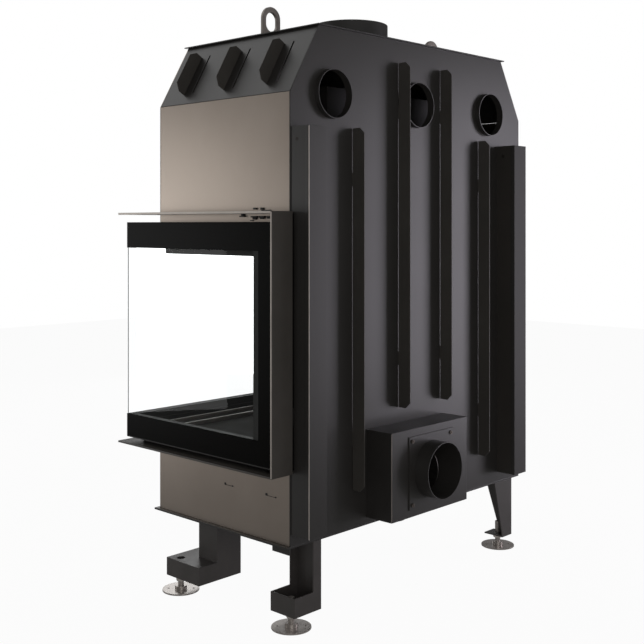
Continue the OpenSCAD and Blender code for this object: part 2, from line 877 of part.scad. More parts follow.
// Smoke baffle lying on the two linings, with the way up in front of it
module baffle_plate() {
    color([0.5, 0.45, 0.38]) in_place()
        block([fire_left, mouth_x - shell_t], [baffle_front, fire_back],
              [baffle_z, baffle_z + baffle_t]);
}

// Flat glass-fibre seal round the mouth
module firebox_seal() {
    left = fire_left + seal_edge;
    rear = fire_back - seal_edge;
    x1 = rail_in_x - run_gap;
    y1 = rail_in_y + run_gap;
    low = glass_low + seal_rise;
    high = glass_high - seal_drop;
    color([0.25, 0.24, 0.22]) in_place() {
        flat_xy(corner(left, x1, y1, rear, mouth_x, mouth_y), low, low + seal_w);
        flat_xy(corner(left, x1, y1, rear, mouth_x, mouth_y), high - seal_w, high);
        block([mouth_x, x1], [rear - seal_w, rear], [low, high]);
        block([left, left + seal_w], [y1, mouth_y], [low, high]);
    }
}

// Hollow rail round the corner between two heights
module rail(z0, z1) {
    difference() {
        flat_xy(corner(glass_left, rail_x, rail_y, glass_rear, rail_in_x, rail_in_y), z0, z1);
        flat_xy(corner(glass_left + rail_wall, rail_x - rail_wall, rail_y + rail_wall,
                       glass_rear - rail_wall, rail_in_x + rail_wall, rail_in_y - rail_wall),
                z0 + rail_wall, z1 - rail_wall);
    }
}

// Door frame: two corner rails, two stiles, and a ledge that carries the panes
module door_frame() {
    z0 = glass_low + low_rail_h;
    z1 = glass_high - high_rail_h;
    color(black) in_place() {
        rail(glass_low, z0);
        rail(z1, glass_high);
        difference() {
            block([rail_in_x, rail_x], [glass_rear - stile_w, glass_rear], [z0, z1]);
            block([rail_in_x + rail_wall, rail_x - rail_wall],
                  [glass_rear - stile_w + rail_wall, glass_rear - rail_wall], [z0, z1]);
        }
        difference() {
            block([glass_left, glass_left + stile_w], [rail_y, rail_in_y], [z0, z1]);
            block([glass_left + rail_wall, glass_left + stile_w - rail_wall],
                  [rail_y + rail_wall, rail_in_y - rail_wall], [z0, z1]);
        }
        flat_xy(corner(glass_left, glass_x, glass_y, glass_rear, rail_in_x, rail_in_y),
                glass_low - ledge_t, glass_low);
    }
}

module side_glass() {
    color([0.15, 0.16, 0.17, 0.4]) in_place()
        block([rail_x, glass_x], [rail_y, glass_rear], [glass_low, glass_high]);
}

module front_glass() {
    color([0.15, 0.16, 0.17, 0.4]) in_place()
        block([glass_left, glass_x], [glass_y, rail_y], [glass_low, glass_high]);
}

// Handle bar on two flat arms that are fixed to the ledge
handle_arm_w = 22;
handle_arm_in = 30;

module door_handle() {
    x = (glass_left + glass_x) / 2;
    z = glass_low - ledge_t / 2;
    color([0.3, 0.3, 0.3]) in_place() {
        translate([0, glass_y - handle_out, z])
            bar_x(handle_r, x - handle_len / 2, x + handle_len / 2);
        for (side = [-1, 1]) translate([x + side * (handle_len / 2 - handle_arm_in), 0, 0])
            block([-handle_arm_w / 2, handle_arm_w / 2], [glass_y - handle_out, glass_y],
                  [glass_low - ledge_t, glass_low]);
    }
}

// Carriages behind the stiles, each with an arm to its cable
module door_carriages() {
    color(dark_grey) in_place() {
        block([rail_in_x - carriage_t, rail_in_x],
              [guide_right_y - guide_w / 2, guide_right_y + guide_w / 2],
              [glass_low, glass_low + carriage_h]);
        block([rail_in_x - carriage_t, rail_in_x],
              [guide_right_y, cable_door_y + arm_t / 2], [arm_low, arm_low + arm_h]);
        block([channel_right_x - arm_end, rail_in_x],
              [cable_door_y - arm_t / 2, cable_door_y + arm_t / 2], [arm_low, arm_low + arm_h]);
        block([guide_left_x - guide_w / 2, channel_left_x + arm_t / 2],
              [rail_in_y, rail_in_y + carriage_t], [glass_low, glass_low + carriage_h]);
        block([channel_left_x - arm_t / 2, channel_left_x + arm_t / 2],
              [rail_in_y, cable_front_y + arm_end], [arm_low, arm_low + arm_h]);
    }
}

// Lays its pieces on both guides: X along the wall, Y out of it, up to the carriage
module on_guides(shoes) {
    translate([half_w, guide_right_y, 0]) rotate([0, 0, -90])
        guide_piece(shoes, rail_in_x - carriage_t - half_w);
    translate([guide_left_x, -half_d, 0]) rotate([0, 0, 180])
        guide_piece(shoes, -rail_in_y - carriage_t - half_d);
}

// Either a guide rail with inward lips, or the two glide shoes that run in it
module guide_piece(shoes, reach) {
    if (shoes) for (z = [glass_low + shoe_edge, glass_low + carriage_h - shoe_h - shoe_edge]) {
        block([-shoe_half, shoe_half], [guide_t + run_gap, guide_out - guide_t - run_gap],
              [z, z + shoe_h]);
        block([-shoe_neck / 2, shoe_neck / 2], [guide_t + run_gap, reach], [z, z + shoe_h]);
    }
    else difference() {
        block([-guide_w / 2, guide_w / 2], [0, guide_out],
              [surround_low, surround_high - surround_t]);
        block([-guide_w / 2 + guide_t, guide_w / 2 - guide_t], [guide_t, guide_out - guide_t],
              [surround_low - over, surround_high]);
        block([-guide_mouth / 2, guide_mouth / 2], [guide_out - guide_t - over, guide_out + over],
              [surround_low - over, surround_high]);
    }
}

module carriage_shoes() {
    color([0.75, 0.72, 0.62]) in_place() on_guides(true);
}

module guide_rails() {
    color(steel) in_place() on_guides(false);
}

// Counterweight with the stud that its cable is fixed to
module weight(x) {
    block([x - weight_half_w, x + weight_half_w],
          [cable_weight_y - weight_half_d, cable_weight_y + weight_half_d],
          [weight_top - weight_h, weight_top]);
    translate([x, cable_weight_y, weight_top]) cylinder(r = stud_r, h = stud_h);
}

module weight_right() {
    color(dark_grey) in_place() weight(channel_right_x);
}

module weight_left() {
    color(dark_grey) in_place() weight(channel_left_x);
}

module pulley(x, y) {
    translate([x, y, pulley_z]) rotate([0, 90, 0]) rotate_extrude() polygon([
        [axle_r + fit_gap, -pulley_w / 2], [pulley_rim, -pulley_w / 2],
        [pulley_rim, -groove_w / 2], [groove_r, -groove_w / 2], [groove_r, groove_w / 2],
        [pulley_rim, groove_w / 2], [pulley_rim, pulley_w / 2], [axle_r + fit_gap, pulley_w / 2]
    ]);
}

module pulley_right() {
    color(steel) in_place() pulley(channel_right_x, pulley_y);
}

module pulley_left_front() {
    color(steel) in_place() pulley(channel_left_x, pulley_front_y);
}

module pulley_left_rear() {
    color(steel) in_place() pulley(channel_left_x, pulley_y);
}

// Axles with spacers in the channels; the front left one is welded into its bracket
module pulley_axles() {
    inner = pulley_w / 2 + side_gap;
    plate = -half_d + sheet - pulley_front_y;
    color([0.7, 0.7, 0.7]) in_place() {
        for (x = [channel_right_x, channel_left_x]) translate([x, pulley_y, pulley_z]) {
            bar_x(axle_r, -chan_half, chan_half);
            bar_x(spacer_r, -chan_half + sheet, -inner);
            bar_x(spacer_r, inner, chan_half - sheet);
        }
        translate([channel_left_x, pulley_front_y, pulley_z]) {
            bar_x(axle_r, -inner - bracket_t, inner + bracket_t);
            for (side = [-1, 1]) translate([side * (inner + bracket_t / 2), 0, 0])
                block([-bracket_t / 2, bracket_t / 2], [plate, cheek_h / 2],
                      [-cheek_h / 2, cheek_h / 2]);
            block([-bracket_w / 2, bracket_w / 2], [plate, plate + bracket_t],
                  [-bracket_h / 2, bracket_h / 2]);
        }
    }
}

// Cable runs between the door's arms and the pulleys; they shorten as the door rises
module cable_door_runs() {
    color(steel) in_place() {
        translate([channel_right_x, cable_door_y, arm_low + arm_h])
            cylinder(r = cable_r, h = pulley_z - arm_low - arm_h, $fn = 24);
        translate([channel_left_x, cable_front_y, arm_low + arm_h])
            cylinder(r = cable_r, h = pulley_z - arm_low - arm_h, $fn = 24);
    }
}

// Cable runs between the pulleys and the counterweights; they lengthen as the door rises
module weight_run(x) {
    translate([x, cable_weight_y, weight_top + stud_h])
        cylinder(r = cable_r, h = pulley_z - weight_top - stud_h, $fn = 24);
}

module cable_weight_run_right() {
    color(steel) in_place() weight_run(channel_right_x);
}

module cable_weight_run_left() {
    color(steel) in_place() weight_run(channel_left_x);
}

// Arc of a cable over a pulley, from one angle to another, counted from the back upwards
module cable_arc(x, y, from, turn) {
    translate([x, y, pulley_z]) rotate([90, 0, 90]) rotate([0, 0, from])
        rotate_extrude(angle = turn) translate([pulley_r, 0]) circle(r = cable_r, $fn = 24);
}

// The parts of the cables that lie over the pulleys, with the level run on the left
module cable_overhead() {
    color(steel) in_place() {
        cable_arc(channel_right_x, pulley_y, 0, 180);
        cable_arc(channel_left_x, pulley_y, 0, 90);
        cable_arc(channel_left_x, pulley_front_y, 90, 90);
        translate([channel_left_x, 0, pulley_z + pulley_r])
            bar_y(cable_r, pulley_front_y, pulley_y, $fn = 24);
    }
}

module spindle_hole(at) {
    translate([at[0], at[1], toe_low - over])
        cylinder(r = spindle_r + run_gap, h = leg_t + 2 * over);
}

// Closed box toe with an access hole over the spindle, and a box column under the body
module leg_front_right() {
    x0 = half_w - toe_w;
    y0 = foot_fr[1] - toe_front;
    y1 = y0 + toe_d;
    color(dark_grey) in_place() difference() {
        union() {
            block([x0, half_w], [y0, y1], [toe_low, toe_low + toe_h]);
            block([x0, x0 + column_w], [y1 - column_d, y1], [toe_low, -bottom_t]);
        }
        block([x0 + leg_t, half_w - leg_t], [y0 + leg_t, y1 - leg_t],
              [toe_low + leg_t, toe_low + toe_h - leg_t]);
        block([x0 + leg_t, x0 + column_w - leg_t], [y1 - column_d + leg_t, y1 - leg_t],
              [toe_low + leg_t, -bottom_t - leg_t]);
        spindle_hole(foot_fr);
        translate([foot_fr[0], foot_fr[1], toe_low + toe_h - leg_t - over])
            cylinder(r = access_r, h = leg_t + 2 * over);
    }
}

// Open tray with a channel-shaped upright on its inner side
module leg_rear_right() {
    x1 = half_w - tray_right_in;
    x0 = x1 - tray_w;
    y0 = half_d - tray_d;
    color(dark_grey) in_place() difference() {
        union() {
            block([x0, x1], [y0, half_d], [toe_low, toe_low + toe_h]);
            block([x0, x0 + tray_flange], [y0, half_d], [toe_low, -bottom_t]);
        }
        block([x0 + leg_t, x1 - leg_t], [y0 + leg_t, half_d - leg_t],
              [toe_low + leg_t, toe_low + toe_h + over]);
        block([x0 + leg_t, x0 + tray_flange + over], [y0 + leg_t, half_d - leg_t],
              [toe_low + leg_t, -bottom_t - leg_t]);
        spindle_hole(foot_rr);
    }
}

// Angle legs of folded plate, tapering down to a flat foot plate
module legs_left() {
    color(dark_grey) in_place() for (side = [0, 1]) mirror([0, side, 0]) difference() {
        union() {
            wall_xz([
                [angle_x, toe_low], [angle_x + angle_low_w, toe_low],
                [angle_x + angle_low_w, toe_low + angle_step], [angle_x + angle_w, -bottom_t],
                [angle_x, -bottom_t]
            ], half_d - leg_t, half_d);
            wall_yz([
                [half_d, toe_low], [half_d, -bottom_t], [half_d - angle_d, -bottom_t],
                [half_d - angle_low_d, toe_low + angle_side_step],
                [half_d - angle_low_d, toe_low]
            ], angle_x, angle_x + leg_t);
            block([angle_x, angle_x + angle_low_w], [half_d - angle_foot_d, half_d],
                  [toe_low, toe_low + leg_t]);
        }
        spindle_hole(foot_rl);
    }
}

// Levelling foot: drilled disc, hub and spindle
module foot(at) {
    translate([at[0], at[1], -stand_h]) difference() {
        union() {
            cylinder(r = foot_r, h = disc_t);
            cylinder(r = hub_r, h = hub_h);
            cylinder(r = spindle_r, h = foot_len);
        }
        for (a = [45 : 90 : 315]) rotate([0, 0, a]) translate([disc_hole_at, 0, -over])
            cylinder(r = disc_hole_r, h = disc_t + 2 * over);
    }
}

module foot_front_right() {
    color(dark_grey) in_place() foot(foot_fr);
}

module foot_rear_right() {
    color(dark_grey) in_place() foot(foot_rr);
}

module foot_rear_left() {
    color(dark_grey) in_place() foot(foot_rl);
}

module foot_front_left() {
    color(dark_grey) in_place() foot(foot_fl);
}

module foot_nuts() {
    color([0.75, 0.74, 0.7]) in_place() for (at = [foot_fr, foot_rr, foot_rl, foot_fl])
        translate([at[0], at[1], toe_low - nut_h]) difference() {
            cylinder(r = nut_r, h = nut_h, $fn = 6);
            translate([0, 0, -over]) cylinder(r = spindle_r + fit_gap, h = nut_h + 2 * over);
        }
}

back_wall();
left_side_wall();
side_cover_upper();
side_cover_lower();
front_cover_upper();
front_cover_lower();
end_pillars();
bottom_plate();
top_lid();
hood_slopes();
hood_fins();
back_ribs();
weight_channel_right();
weight_channel_left();
channel_covers();
convection_collars();
flue_collar();
lifting_eyes();
surround_top();
surround_bottom();
surround_wings();
air_box();
inlet_spigot();
inlet_screws();
damper_flap();
damper_spindle();
air_control_rod();
air_control_knob();
firebox_shell();
smoke_box();
hearth_slab();
lining_back();
lining_left();
baffle_plate();
firebox_seal();
door_frame();
side_glass();
front_glass();
door_handle();
door_carriages();
carriage_shoes();
guide_rails();
weight_right();
weight_left();
pulley_right();
pulley_left_front();
pulley_left_rear();
pulley_axles();
cable_door_runs();
cable_weight_run_right();
cable_weight_run_left();
cable_overhead();
leg_front_right();
leg_rear_right();
legs_left();
foot_front_right();
foot_rear_right();
foot_rear_left();
foot_front_left();
foot_nuts();
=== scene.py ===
# Corner fireplace insert, seen from behind its glazed right side.
import json
import math

import bpy
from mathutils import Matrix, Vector


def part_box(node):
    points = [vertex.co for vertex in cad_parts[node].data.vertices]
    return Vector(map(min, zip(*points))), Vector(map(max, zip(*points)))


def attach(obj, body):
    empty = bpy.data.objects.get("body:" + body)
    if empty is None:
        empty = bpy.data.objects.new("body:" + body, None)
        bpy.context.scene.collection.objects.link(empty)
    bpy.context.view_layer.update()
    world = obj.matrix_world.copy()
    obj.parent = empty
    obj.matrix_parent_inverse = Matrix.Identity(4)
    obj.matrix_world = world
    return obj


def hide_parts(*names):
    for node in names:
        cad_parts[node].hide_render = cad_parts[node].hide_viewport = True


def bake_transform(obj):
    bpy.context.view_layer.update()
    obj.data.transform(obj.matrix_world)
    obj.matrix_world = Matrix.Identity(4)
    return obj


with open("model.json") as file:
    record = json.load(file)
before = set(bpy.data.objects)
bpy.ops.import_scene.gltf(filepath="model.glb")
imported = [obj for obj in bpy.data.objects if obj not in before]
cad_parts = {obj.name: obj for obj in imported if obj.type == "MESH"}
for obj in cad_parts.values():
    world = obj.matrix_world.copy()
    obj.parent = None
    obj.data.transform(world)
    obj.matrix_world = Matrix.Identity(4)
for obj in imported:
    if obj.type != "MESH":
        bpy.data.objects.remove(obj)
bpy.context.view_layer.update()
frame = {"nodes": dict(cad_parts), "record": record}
nodes = frame["nodes"]
print("frame loaded:", len(nodes), "nodes")


# small helpers: selection, colour, materials

def selectOnly(*pieces):
    # the first one is made active
    bpy.ops.object.select_all(action="DESELECT")
    for piece in pieces:
        piece.select_set(True)
    if pieces:
        bpy.context.view_layer.objects.active = pieces[0]


def toLinear(hexColour):
    value = hexColour.lstrip("#")
    channels = [int(value[i:i + 2], 16) / 255 for i in (0, 2, 4)]
    linear = [c / 12.92 if c <= 0.04045 else ((c + 0.055) / 1.055) ** 2.4 for c in channels]
    return (*linear, 1.0)


def addNode(tree, kind, settings=None, links=None):
    # settings fill sockets (by name or number), plain properties or the stops of a colour ramp,
    # and links join earlier outputs
    node = tree.nodes.new(kind)
    for key, value in (settings or {}).items():
        if key == "stops":
            band = node.color_ramp.elements
            while len(band) < len(value):
                band.new(0.5)
            for element, (place, colour) in zip(band, value):
                element.position = place
                element.color = colour
        elif isinstance(key, int) or key in node.inputs:
            node.inputs[key].default_value = value
        else:
            setattr(node, key, value)
    for key, source in (links or {}).items():
        tree.links.new(source, node.inputs[key])
    return node


def newMaterial(name):
    material = bpy.data.materials.new(name)
    material.use_nodes = True
    material.node_tree.nodes.clear()
    return material, material.node_tree


surfaceNoise = dict(
    patchDetail=4.0, patchRoughness=0.6, grainDetail=2.0, grainRoughness=0.5,
    darkAt=0.3, baseAt=0.52, lightAt=0.75,  # where each colour stands in the patches
    dullStart=0.3, dullEnd=0.7,  # the range of the patches that the roughness runs over
    depth=0.0002)  # metres of grain relief, unless a look gives its own


def surfaceMaterial(name, look):
    # look: base, dark and light hex colours, patch and grain sizes in mm, roughness range, bump
    material, tree = newMaterial(name)
    coords = addNode(tree, "ShaderNodeTexCoord").outputs["Object"]
    stretch = look.get("stretch", (1, 1, 1))
    mapped = addNode(tree, "ShaderNodeMapping", {"Scale": stretch}, {"Vector": coords}).outputs[0]
    patches = addNode(tree, "ShaderNodeTexNoise",
                      {"Scale": 1000 / look["patchMm"], "Detail": surfaceNoise["patchDetail"],
                       "Roughness": surfaceNoise["patchRoughness"]},
                      {"Vector": mapped}).outputs["Fac"]
    grain = addNode(tree, "ShaderNodeTexNoise",
                    {"Scale": 1000 / look["grainMm"], "Detail": surfaceNoise["grainDetail"],
                     "Roughness": surfaceNoise["grainRoughness"]},
                    {"Vector": mapped}).outputs["Fac"]
    colour = addNode(tree, "ShaderNodeValToRGB",
                     {"stops": [(surfaceNoise["darkAt"], toLinear(look["dark"])),
                                (surfaceNoise["baseAt"], toLinear(look["base"])),
                                (surfaceNoise["lightAt"], toLinear(look["light"]))]},
                     {"Fac": patches}).outputs["Color"]
    low, high = look["roughness"]
    rough = addNode(tree, "ShaderNodeMapRange",
                    {"From Min": surfaceNoise["dullStart"], "From Max": surfaceNoise["dullEnd"],
                     "To Min": low, "To Max": high},
                    {"Value": patches}).outputs[0]
    if "dullerLeft" in look:  # so much more roughness on the object's left half
        side = addNode(tree, "ShaderNodeSeparateXYZ", links={0: coords}).outputs["X"]
        left = addNode(tree, "ShaderNodeMath", {"operation": "LESS_THAN", 1: 0.0}, {0: side}).outputs[0]
        rough = addNode(tree, "ShaderNodeMath", {"operation": "MULTIPLY_ADD", 1: look["dullerLeft"]},
                        {0: left, 2: rough}).outputs[0]
    bump = addNode(tree, "ShaderNodeBump",
                   {"Strength": look["bump"], "Distance": look.get("depth", surfaceNoise["depth"])},
                   {"Height": grain}).outputs[0]
    shader = addNode(tree, "ShaderNodeBsdfPrincipled", {"Metallic": look.get("metallic", 0.0)},
                     {"Base Color": colour, "Roughness": rough, "Normal": bump})
    addNode(tree, "ShaderNodeOutputMaterial", links={"Surface": shader.outputs[0]})
    return material


looks = {
    # aluminised steel sheet: pale warm grey, soft sheen, a very fine spangle
    "aluminisedSteel": dict(base="#A1968C", dark="#9D9288", light="#A59A90", patchMm=260, grainMm=0.9,
                            roughness=(0.34, 0.38), bump=0.05, metallic=1.0),
    # satin black heat paint on sheet steel: a broad neutral sheen over a warm black
    "satinBlackPaint": dict(base="#2F2D2B", dark="#2C2A28", light="#32302E", patchMm=300, grainMm=1.2,
                            roughness=(0.37, 0.40), bump=0.03),
    # the same paint on the left weight channel, duller from handling
    "dulledPaint": dict(base="#322E2A", dark="#2E2B27", light="#36322D", patchMm=300, grainMm=1.2,
                        roughness=(0.60, 0.64), bump=0.03),
    # the same paint on the channel covers, of which the left one is duller
    "coverPaint": dict(base="#2F2D2B", dark="#2C2A28", light="#32302E", patchMm=300, grainMm=1.2,
                       roughness=(0.37, 0.40), bump=0.03, dullerLeft=0.24),
    # the same paint on the ribs, painted lighter than on the wall: painted light that lifts the shade on
    # the ribs' faces
    "ribPaint": dict(base="#43403C", dark="#3E3B38", light="#484541", patchMm=220, grainMm=1.2,
                     roughness=(0.42, 0.48), bump=0.03),
    # matt black heat paint, sprayed: deep black with hardly any shine
    "blackHeatPaint": dict(base="#211F1D", dark="#1B1A18", light="#282623", patchMm=90, grainMm=0.8,
                           roughness=(0.5, 0.62), bump=0.12),
    # cast iron, painted, with the sand's pebble left in the skin
    "castIron": dict(base="#2F2D2B", dark="#252423", light="#3A3735", patchMm=40, grainMm=1.6,
                     roughness=(0.5, 0.7), bump=0.35, depth=0.0006),
    # mill-finished steel, plain: mid grey and a little cloudy
    "millSteel": dict(base="#6A635D", dark="#57514C", light="#7B746D", patchMm=30, grainMm=1.0,
                      roughness=(0.35, 0.5), bump=0.08, metallic=0.9),
    # forged steel, bare and dull: the lifting eyes and the rails on the hearth; on the air box's edge it is
    # a strip of painted highlight
    "forgedSteel": dict(base="#8F8882", dark="#857E78", light="#99928C", patchMm=40, grainMm=1.2,
                        roughness=(0.4, 0.5), bump=0.1, metallic=0.5),
    # painted highlight: pale strips laid along the edges of painted sheet, drawn as thin bright lines
    "cutEdge": dict(base="#B5ADA5", dark="#ABA39B", light="#BEB6AE", patchMm=60, grainMm=1.0,
                    roughness=(0.34, 0.42), bump=0.04, metallic=0.4),
    # turned steel, blackened and oiled against the heat: dark, with a low sheen
    "blackenedSteel": dict(base="#3B3835", dark="#32302D", light="#45423E", patchMm=20, grainMm=0.6,
                           roughness=(0.32, 0.44), bump=0.05, metallic=0.8, stretch=(1, 1, 6)),
    # stranded steel rope, drawn bright: pale and glinting
    "ropeSteel": dict(base="#A9A49E", dark="#8F8A84", light="#C2BDB6", patchMm=20, grainMm=0.6,
                      roughness=(0.3, 0.42), bump=0.2, metallic=1.0),
    # zinc plating: pale and bright, with a faint warm cast
    "zincPlate": dict(base="#E6DFD6", dark="#D8D1C8", light="#EFE9E1", patchMm=12, grainMm=0.5,
                      roughness=(0.22, 0.36), bump=0.04, metallic=0.55),
    # vermiculite-clay slab, pressed: pitted and dull
    "firedClay": dict(base="#2B2825", dark="#211F1D", light="#37332F", patchMm=60, grainMm=2.4,
                      roughness=(0.8, 0.95), bump=0.5, depth=0.001),
    # braided glass fibre, black: rough, with no shine
    "fibreSeal": dict(base="#1E1D1B", dark="#151413", light="#2A2926", patchMm=8, grainMm=1.5,
                      roughness=(0.9, 1.0), bump=0.6, depth=0.001),
    # bronze slider, drawn: warm brown with a soft shine
    "drawnBronze": dict(base="#8C6E42", dark="#755A35", light="#A3834F", patchMm=20, grainMm=0.8,
                        roughness=(0.3, 0.45), bump=0.05, metallic=1.0),
    # phenolic plastic, moulded: near black, smooth, with a low gloss
    "phenolic": dict(base="#1A1918", dark="#141312", light="#222120", patchMm=15, grainMm=0.7,
                     roughness=(0.35, 0.45), bump=0.05),
    # satin grey paint of the surround plates
    "surroundPaint": dict(base="#45413D", dark="#403C38", light="#4A4642", patchMm=140, grainMm=0.9,
                          roughness=(0.36, 0.44), bump=0.06),
    # leg paint, satin charcoal
    "charcoalPaint": dict(base="#464240", dark="#403D3A", light="#4C4845", patchMm=80, grainMm=0.9,
                          roughness=(0.4, 0.52), bump=0.1),
    # levelling feet: turned and polished steel, which mirrors the room softly
    "polishedSteel": dict(base="#B3ACA6", dark="#A69F99", light="#BEB7B1", patchMm=30, grainMm=0.7,
                          roughness=(0.2, 0.28), bump=0.03, metallic=0.5),
}
materials = {name: surfaceMaterial(name, look) for name, look in looks.items()}

finishes = {  # the look of each material slot
    "casing_grey": "aluminisedSteel", "casing_dark": "satinBlackPaint", "rib_black": "ribPaint",
    "flue_iron": "castIron", "eye_steel": "forgedSteel", "surround_grey": "surroundPaint",
    "screw_steel": "millSteel", "bare_steel": "blackenedSteel", "damper_steel": "blackenedSteel",
    "knob_plastic": "phenolic", "firebox_steel": "blackHeatPaint", "fireclay": "firedClay",
    "seal_fibre": "fibreSeal", "door_black": "blackHeatPaint", "handle_steel": "millSteel",
    "shoe_bronze": "drawnBronze", "weight_iron": "castIron", "cable_steel": "ropeSteel",
    "leg_steel": "charcoalPaint", "foot_steel": "polishedSteel", "nut_zinc": "zincPlate",
}


paneLook = dict(
    clear="#FDFEFE", index=1.2, lampTint="#F0F2F1",
    enamelDark="#0D0D0C", enamelLight="#121110", enamelDarkAt=0.35, enamelLightAt=0.65,
    enamelGrainMm=2.5, enamelDull=0.3, enamelShine=0.03,
    top=0.070, bottom=0.0605, rear=0.049, left=0.070,  # widths of the enamel border, in metres
    noBorder=9.0)  # metres, well past the pane, where an edge has no border


def borderedGlass(name, along, edgeStart, edgeEnd, low, high):
    # ceramic glass: water clear and coated against reflections, so its index is low,
    # with a border of black enamel fired on near its edges
    material, tree = newMaterial(name)
    coords = addNode(tree, "ShaderNodeTexCoord").outputs["Object"]
    axes = addNode(tree, "ShaderNodeSeparateXYZ", links={0: coords})
    across, height = axes.outputs[along], axes.outputs["Z"]

    def inside(source, start, end):
        over = addNode(tree, "ShaderNodeMath", {"operation": "GREATER_THAN", 1: start},
                       {0: source}).outputs[0]
        under = addNode(tree, "ShaderNodeMath", {"operation": "LESS_THAN", 1: end},
                        {0: source}).outputs[0]
        return addNode(tree, "ShaderNodeMath", {"operation": "MULTIPLY"}, {0: over, 1: under}).outputs[0]

    window = addNode(tree, "ShaderNodeMath", {"operation": "MULTIPLY"},
                     {0: inside(across, edgeStart, edgeEnd), 1: inside(height, low, high)}).outputs[0]
    clear = addNode(tree, "ShaderNodeBsdfPrincipled",
                    {"Base Color": toLinear(paneLook["clear"]), "Roughness": 0.0, "IOR": paneLook["index"],
                     "Transmission Weight": 1.0})
    # lamp light, and rays that come back from a surface, go straight through,
    # or the lamps would count twice
    lampWay = addNode(tree, "ShaderNodeBsdfTransparent", {"Color": toLinear(paneLook["lampTint"])})
    path = addNode(tree, "ShaderNodeLightPath")
    bounced = addNode(tree, "ShaderNodeMath", {"operation": "MAXIMUM"},
                      {0: path.outputs["Is Diffuse Ray"], 1: path.outputs["Is Glossy Ray"]}).outputs[0]
    reflected = addNode(tree, "ShaderNodeMath", {"operation": "SUBTRACT", "use_clamp": True},
                        {0: bounced, 1: path.outputs["Is Transmission Ray"]}).outputs[0]
    passing = addNode(tree, "ShaderNodeMath", {"operation": "MAXIMUM"},
                      {0: reflected, 1: path.outputs["Is Shadow Ray"]}).outputs[0]
    pane = addNode(tree, "ShaderNodeMixShader",
                   links={0: passing, 1: clear.outputs[0], 2: lampWay.outputs[0]})
    enamelGrain = addNode(tree, "ShaderNodeTexNoise", {"Scale": 1000 / paneLook["enamelGrainMm"]},
                          {"Vector": coords}).outputs["Fac"]
    enamelColour = addNode(tree, "ShaderNodeValToRGB",
                           {"stops": [(paneLook["enamelDarkAt"], toLinear(paneLook["enamelDark"])),
                                      (paneLook["enamelLightAt"], toLinear(paneLook["enamelLight"]))]},
                           {"Fac": enamelGrain}).outputs["Color"]
    enamel = addNode(tree, "ShaderNodeBsdfPrincipled",
                     {"Roughness": paneLook["enamelDull"], "Specular IOR Level": paneLook["enamelShine"]},
                     {"Base Color": enamelColour})
    mixed = addNode(tree, "ShaderNodeMixShader",
                    links={0: window, 1: enamel.outputs[0], 2: pane.outputs[0]})
    addNode(tree, "ShaderNodeOutputMaterial", links={"Surface": mixed.outputs[0]})
    return material


sideLow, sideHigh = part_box("side_glass")
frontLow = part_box("front_glass")[0]
windowLow = sideLow.z + paneLook["bottom"]
windowHigh = sideHigh.z - paneLook["top"]
sideGlass = borderedGlass("ceramicGlassSide", "Y", -paneLook["noBorder"], sideHigh.y - paneLook["rear"],
                          windowLow, windowHigh)
frontGlass = borderedGlass("ceramicGlassFront", "X", frontLow.x + paneLook["left"], paneLook["noBorder"],
                           windowLow, windowHigh)
ownLooks = {  # nodes that have another look than their slot's
    "side_glass": sideGlass, "front_glass": frontGlass,
    "weight_channel_left": materials["dulledPaint"], "channel_covers": materials["coverPaint"],
}


slotOf = {part["node"]: part["material_slot"] for part in frame["record"]["subparts"]}
for name, node in nodes.items():
    material = ownLooks.get(name) or materials[finishes[slotOf[name]]]
    if not node.data.materials:
        node.data.materials.append(material)
    for place in range(len(node.data.materials)):
        node.data.materials[place] = material
print("materials on", len(nodes), "nodes")


# sheet metal: its pressed and cut edges are slightly rounded, which draws their bright lines

bodyOf = {member: body for body, members in frame["record"]["behaviour"]["bodies"].items()
          for member in members}
edgeRounds = {  # metres of rounding on each piece
    "side_cover_upper": 0.0009, "side_cover_lower": 0.0009, "front_cover_upper": 0.0009,
    "front_cover_lower": 0.0009, "left_side_wall": 0.0009, "back_wall": 0.0009, "end_pillars": 0.0009,
    "bottom_plate": 0.0012, "top_lid": 0.0009, "hood_slopes": 0.0008, "hood_fins": 0.0007,
    "back_ribs": 0.0009, "weight_channel_right": 0.0008, "weight_channel_left": 0.0008,
    "channel_covers": 0.0007, "convection_collars": 0.0004, "flue_collar": 0.0015, "lifting_eyes": 0.0022,
    "surround_top": 0.0009, "surround_bottom": 0.0009, "surround_wings": 0.0008, "air_box": 0.0012,
    "inlet_spigot": 0.0005, "inlet_screws": 0.0005, "door_frame": 0.0006, "door_handle": 0.0008,
    "leg_front_right": 0.0012, "leg_rear_right": 0.0012, "legs_left": 0.0012, "foot_nuts": 0.0008,
    "hearth_slab": 0.0030, "lining_back": 0.0020, "lining_left": 0.0020, "baffle_plate": 0.0020,
    "foot_front_right": 0.0010, "foot_rear_right": 0.0010, "foot_rear_left": 0.0010,
    "foot_front_left": 0.0010, "air_control_knob": 0.0010, "weight_right": 0.0020, "weight_left": 0.0020,
}
rounding = dict(
    merge=0.00001,  # metres between corners that are one
    # degrees between faces that are one, that get a rounded edge, and that still shade as smooth
    flat=0.3, sharp=30.0, smooth=32.0,
    segments=2, faceWeight=100)


def copyOfNode(name, ending):
    source = nodes[name]
    piece = source.copy()
    piece.data = source.data.copy()
    piece.name = piece.data.name = name + ending
    piece.parent = None
    bpy.context.collection.objects.link(piece)
    selectOnly(piece)
    return piece


